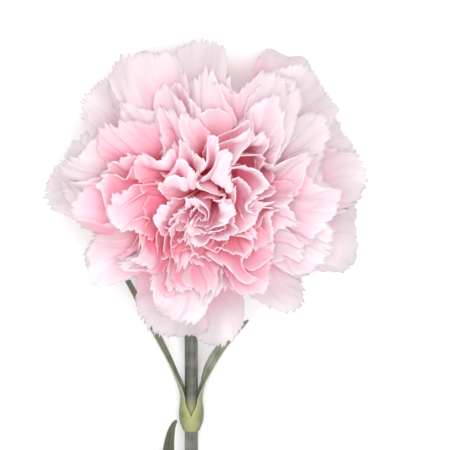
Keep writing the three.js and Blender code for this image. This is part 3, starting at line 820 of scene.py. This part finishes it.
class Finish:
    """A material whose nodes are added one by one."""

    def __init__(self, name):
        self.material = bpy.data.materials.new(name)
        self.material.use_nodes = True
        self.tree = self.material.node_tree
        self.tree.nodes.clear()

    def node(self, kind, settings=None, sockets=None, output=0):
        """Adds a node: its settings first, then each socket's value or link. Gives an output."""
        made = self.tree.nodes.new(kind)
        for name, value in (settings or {}).items():
            if name == "stops":
                elements = made.color_ramp.elements
                while len(elements) < len(value):
                    elements.new(0.5)
                for element, (position, colour) in zip(elements, value):
                    element.position = position
                    element.color = (*colour, 1)
            else:
                setattr(made, name, value)
        for name, value in (sockets or {}).items():
            if isinstance(value, Value):
                self.tree.links.new(value.socket, made.inputs[name])
            elif made.inputs[name].type == "RGBA":
                made.inputs[name].default_value = (*value, 1)
            else:
                made.inputs[name].default_value = value
        return Value(self, made.outputs[output]) if made.outputs else None

    def mark(self, name):
        """One of the mesh's own float attributes."""
        return self.node("ShaderNodeAttribute", {"attribute_name": name}, output="Fac")

    def place(self):
        """Object coordinates, in metres."""
        return self.node("ShaderNodeTexCoord", output="Object")

    def vector(self, x, y, z):
        return self.node("ShaderNodeCombineXYZ", None, {0: x, 1: y, 2: z})

    def noise(self, vector, scale, detail=2.0):
        sockets = {"Vector": vector, "Scale": scale, "Detail": detail}
        return self.node("ShaderNodeTexNoise", None, sockets)

    def step(self, value, low, high):
        """The smoothstep of a value."""
        sockets = {"Value": value, "From Min": low, "From Max": high}
        return self.node("ShaderNodeMapRange", {"interpolation_type": "SMOOTHSTEP"}, sockets)

    def ramp(self, value, stops):
        return self.node("ShaderNodeValToRGB", {"stops": stops}, {"Fac": value})

    def blend(self, share, first, second):
        """A colour that goes from first to second as share goes from 0 to 1."""
        sockets = {0: share, 6: first, 7: second}
        settings = {"data_type": "RGBA", "clamp_factor": True}
        return self.node("ShaderNodeMix", settings, sockets, output=2)

    def bump(self, height, strength, distance):
        sockets = {"Height": height, "Strength": strength, "Distance": distance}
        return self.node("ShaderNodeBump", None, sockets)

    def mixed(self, share, first, second):
        """A shader that goes from first to second as share goes from 0 to 1."""
        return self.node("ShaderNodeMixShader", None, {0: share, 1: first, 2: second})

    def see_through(self, colour):
        return self.node("ShaderNodeBsdfTranslucent", None, {"Color": colour})

    def surface(self, shader):
        self.node("ShaderNodeOutputMaterial", None, {"Surface": shader})
        return self.material

    def waxy(self, colour, roughness, height, strength):
        """The surface of a green part: its colour under a dull wax, and a fine bump."""
        sockets = {
            "Base Color": colour,
            "Roughness": roughness,
            "Specular IOR Level": 0.4,
            "Normal": self.bump(height, strength, 0.0003),
        }
        return self.surface(self.node("ShaderNodeBsdfPrincipled", None, sockets))


# A petal's colours from claw to rim: the rosette's, the outermost petals', and where they stand.
DEEP_STOPS = [
    (0.97, 0.15, 0.34),
    (0.97, 0.26, 0.44),
    (0.98, 0.46, 0.60),
    (0.97, 0.66, 0.75),
    (0.97, 0.80, 0.86),
    (0.97, 0.87, 0.91),
]
PALE_STOPS = [
    (0.97, 0.22, 0.39),
    (0.93, 0.36, 0.49),
    (0.86, 0.57, 0.64),
    (0.81, 0.71, 0.745),
    (0.81, 0.785, 0.80),
    (0.86, 0.85, 0.857),
]
STOPS_AT = [0.0, 0.34, 0.55, 0.74, 0.88, 1.0]
STREAKS = (13, 1.3)  # how many across half a petal and along it
VEINS = (34, 2.2)
VEIN_PINK = (0.86, 0.45, 0.58)
RIM_WHITE = (0.97, 0.94, 0.955)
GLOW_PALE = (0.98, 0.89, 0.93)  # light that shines through, near the rim
GLOW_DEEP = (0.99, 0.55, 0.68)  # and near the claw
GLOW_SHARE = 0.45


def petal_finish(name, shift, paleness):
    """Deep pink at the claw to nearly white at the rim, with streaks, veins and a pale edge.

    The colours follow the way along the petal, unevenly: lengthwise streaks, soft clouds and the
    petal's own tone are added to it. That tone is random in part, and on the middle rings it is
    also a painted highlight towards the lit side and painted shade away from it. A greater shift
    moves the deep pink outwards.
    """
    finish = Finish(name)
    stops = [
        (at, tuple(lerp(np.array(deep), np.array(pale), paleness)))
        for at, deep, pale in zip(STOPS_AT, DEEP_STOPS, PALE_STOPS)
    ]
    across, along, rim = finish.mark("across"), finish.mark("along"), finish.mark("rim")
    tone, seed = finish.mark("tone"), finish.mark("seed")
    streaks = finish.vector(across * STREAKS[0], along * STREAKS[1], seed)
    streaks = finish.noise(streaks, 1.0, 3.0)
    veins = finish.noise(finish.vector(across * VEINS[0], along * VEINS[1], seed), 1.0, 2.0)
    clouds = finish.noise(finish.place(), 90.0, 3.0)
    # The petal's own term is random in part, and on the middle rings it is also a painted
    # highlight and painted shade by side.
    uneven = (streaks - 0.5) * 0.16 + (clouds - 0.5) * 0.12 + (tone - 0.5) * 0.08
    depth = along + uneven - shift
    colour = finish.ramp(depth, stops)
    colour = finish.blend(finish.step(veins, 0.52, 0.70) * 0.14, colour, VEIN_PINK)
    colour = finish.blend(finish.step(rim, 0.955, 1.0) * 0.3, colour, RIM_WHITE)
    skin = finish.node(
        "ShaderNodeBsdfPrincipled",
        None,
        {
            "Base Color": colour,
            "Roughness": finish.noise(finish.place(), 600.0) * 0.2 + 0.5,
            "Specular IOR Level": 0.25,
            "Sheen Weight": 0.05,
            "Sheen Roughness": 0.4,
            "Normal": finish.bump(veins * 0.6 + streaks * 0.4, 0.35, 0.0004),
        },
    )
    pale, deep = finish.see_through(GLOW_PALE), finish.see_through(GLOW_DEEP)
    through = finish.mixed(finish.step(depth, 0.85, 0.5), pale, deep)
    return finish.surface(finish.mixed(GLOW_SHARE, skin, through))


STEM_STOPS = [
    (0.38, (0.075, 0.085, 0.062)),
    (0.5, (0.125, 0.130, 0.110)),
    (0.64, (0.20, 0.205, 0.185)),
]
PITH_STOPS = [(0.2, (0.62, 0.66, 0.42)), (0.6, (0.48, 0.55, 0.28)), (0.9, (0.3, 0.38, 0.16))]
JOINT_GREEN = (0.33, 0.34, 0.12)


def stem_finish():
    """Grey-green wax over green, fine lengthwise lines, yellow-green joints and a pale cut."""
    finish = Finish("stem_wax")
    stretch, core, turn = finish.mark("stretch"), finish.mark("core"), finish.mark("turn")
    lines = finish.noise(finish.vector(turn * 40, stretch * 0.05, 0.0), 1.0, 3.0)
    wax = finish.noise(finish.place(), 260.0, 4.0)
    colour = finish.ramp(wax * 0.6 + lines * 0.4, STEM_STOPS)
    for joint, _ in JOINTS:
        near = finish.step((stretch - joint).absolute(), 5.5, 1.0)
        colour = finish.blend(near * 0.8, colour, JOINT_GREEN)
    cut = finish.step(core, 0.99, 0.9) * finish.step(stretch, 1.0, 0.4)
    colour = finish.blend(cut, colour, finish.ramp(core, PITH_STOPS))
    return finish.waxy(colour, wax * 0.3 + 0.35, lines, 0.4)


# A blade's colours in its veins, between them and along its margin.
FRESH_BLADE = [(0.16, 0.18, 0.11), (0.31, 0.33, 0.25), (0.45, 0.47, 0.33)]
DARK_BLADE = [(0.07, 0.08, 0.05), (0.13, 0.14, 0.10), (0.3, 0.32, 0.2)]
SHEATH_GREEN = (0.13, 0.17, 0.075)
SHEATH_YELLOW = (0.36, 0.35, 0.13)


def leaf_finish(name, dark, light, edge_colour):
    """Parallel veins in grey-green wax, a pale margin, and a sheath that goes from green in the
    middle to yellow-green at its sides, in patches."""
    finish = Finish(name)
    across, along = finish.mark("across"), finish.mark("along")
    veins = finish.noise(finish.vector(across * 9, along * 1.5, 0.0), 1.0, 2.0)
    wax = finish.noise(finish.place(), 300.0, 4.0)
    colour = finish.blend(finish.step(veins * 0.5 + wax * 0.5, 0.35, 0.65), dark, light)
    sheath = finish.step(along, SHEATH_SHARE + 0.12, SHEATH_SHARE - 0.12)
    patches = finish.noise(finish.place(), 420.0, 3.0)
    aside = across.absolute() + (patches - 0.5) * 0.7
    green = finish.blend(finish.step(aside, 0.25, 0.9), SHEATH_GREEN, SHEATH_YELLOW)
    colour = finish.blend(sheath * 0.85, colour, green)
    margin = finish.step(across.absolute(), 0.86, 1.0)
    colour = finish.blend(margin * 0.45, colour, edge_colour)
    return finish.waxy(colour, wax * 0.25 + 0.38, veins, 0.5)


CALYX_STOPS = [(0.1, (0.42, 0.45, 0.20)), (0.45, (0.26, 0.33, 0.13)), (0.95, (0.17, 0.25, 0.10))]
CALYX_RIB_GREEN = (0.14, 0.21, 0.09)
PAPERY_MARGIN = (0.55, 0.56, 0.38)


def calyx_finish():
    """Light green with darker ribs, paler and papery along the margins of teeth and bracts."""
    finish = Finish("calyx_green")
    up, turn, margin = finish.mark("up"), finish.mark("turn"), finish.mark("margin")
    ribs = (turn * (TURN * CALYX_RIBS)).sine() * 0.5 + 0.5
    wax = finish.noise(finish.place(), 300.0, 4.0)
    colour = finish.ramp(up * 0.8 + wax * 0.2, CALYX_STOPS)
    colour = finish.blend(ribs * 0.25, colour, CALYX_RIB_GREEN)
    colour = finish.blend(finish.step(margin, 0.7, 1.0) * 0.5, colour, PAPERY_MARGIN)
    return finish.waxy(colour, wax * 0.25 + 0.38, wax, 0.3)


# ---- Pieces

# The low corner of the stem's box ties the two frames together.
own_stem = stem_part()
to_row = np.array(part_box("stem")[0]) / MM - own_stem[0].min(0)
heart = Vector((np.array([0, 0, HEART_HEIGHT]) + to_row) * MM)

petals = petal_list(SEED, GUARD_PETALS, RINGS)
fillers = petal_list(SEED + 1, [], FILLERS)
# Name, rings, shift of the colours, paleness.
WHORLS = [
    ("petals_outer", (0,), -0.04, 1.0),
    ("petals_second", (1,), 0.0, 0.85),
    ("petals_third", (2,), 0.02, 0.5),
    ("petals_fourth", (3,), 0.0, 0.25),
    ("petals_inner", (4,), -0.03, 0.1),
    ("petals_heart", (5, 6, 7), -0.14, 0.0),
]
for name, rings, shift, paleness in WHORLS:
    sheets = [petal_sheet(petal, *PETAL_GRID) for petal in petals if petal["ring"] in rings]
    sheets += [petal_sheet(petal, *FILLER_GRID) for petal in fillers if petal["ring"] in rings]
    finish = petal_finish(name.replace("petals", "petal_skin"), shift, paleness)
    add_piece(name, joined(sheets), finish, "bloom")

add_piece("stem_fine", own_stem, stem_finish(), "stem")
calyx = joined([calyx_part()] + [bract_part(*bract) for bract in BRACTS])
add_piece("calyx_fine", calyx, calyx_finish(), "calyx")
for name, *shape in LEAVES:
    colours = DARK_BLADE if name == "leaf_lower_left" else FRESH_BLADE
    skin = leaf_finish(name + "_skin", *colours)
    add_piece(name + "_fine", leaf_part(*shape), skin, name)

# ---- Floor, light and camera, in metres

FLOOR_HALF = 3.0
# Name, place, side of the square, watts.
LAMPS = [("key", (0.06, 0.3, 0.8), 0.7, 7.1), ("fill", (-0.45, -0.25, 0.6), 0.6, 1.0)]
ROOM_LIGHT = 0.6
PETAL_BOUNCES = 32  # light crosses many petals before it leaves the bloom
ALL_BOUNCES = 40
CAMERA_DISTANCE = 0.6
VIEW_WIDTH = 0.10204  # what the camera takes in at the heart's distance
AIM_RIGHT = 0.0041
AIM_UP = -0.0073


def floor():
    """A broad pale sheet level with the lowest point of the flower."""
    corners = [(-1, -1), (1, -1), (1, 1), (-1, 1)]
    places = [(x * FLOOR_HALF, y * FLOOR_HALF, cad_low.z) for x, y in corners]
    mesh = bpy.data.meshes.new("floor")
    mesh.from_pydata(places, [], [(0, 1, 2, 3)])
    finish = Finish("floor_paper")
    sockets = {"Base Color": (0.97, 0.97, 0.97), "Roughness": 0.8, "Specular IOR Level": 0.1}
    mesh.materials.append(finish.surface(finish.node("ShaderNodeBsdfPrincipled", None, sockets)))
    sheet = bpy.data.objects.new("floor", mesh)
    bpy.context.scene.collection.objects.link(sheet)


def soft_light(name, place, size, power):
    """A square lamp that faces the flower's heart."""
    lamp = bpy.data.lights.new(name, "AREA")
    lamp.size = size
    lamp.energy = power
    holder = bpy.data.objects.new(name, lamp)
    holder.location = place
    holder.rotation_euler = (heart - Vector(place)).to_track_quat("-Z", "Y").to_euler()
    bpy.context.scene.collection.objects.link(holder)


def camera():
    """Looks along the face's axis at a point a little beside the heart."""
    lean = math.radians(FACE_LEAN_DEG)
    outward = Vector((0, math.sin(lean), math.cos(lean)))
    upward = Vector((0, math.cos(lean), -math.sin(lean)))
    right = Vector((1, 0, 0))
    lens = bpy.data.cameras.new("camera")
    lens.lens = lens.sensor_width * CAMERA_DISTANCE / VIEW_WIDTH
    holder = bpy.data.objects.new("camera", lens)
    aim = heart + right * AIM_RIGHT + upward * AIM_UP
    turn = Matrix((right, upward, outward)).transposed().to_4x4()
    holder.matrix_world = Matrix.Translation(aim + outward * CAMERA_DISTANCE) @ turn
    bpy.context.scene.collection.objects.link(holder)
    bpy.context.scene.camera = holder


def room():
    """White light from all sides, enough bounces for the petals, and plain colours."""
    scene = bpy.context.scene
    scene.cycles.diffuse_bounces = PETAL_BOUNCES
    scene.cycles.transmission_bounces = PETAL_BOUNCES
    scene.cycles.max_bounces = ALL_BOUNCES
    scene.view_settings.view_transform = "Standard"
    scene.world = bpy.data.worlds.new("studio")
    scene.world.use_nodes = True
    sky = scene.world.node_tree.nodes["Background"].inputs
    sky["Color"].default_value = (1, 1, 1, 1)
    sky["Strength"].default_value = ROOM_LIGHT


floor()
for lamp in LAMPS:
    soft_light(*lamp)
camera()
room()
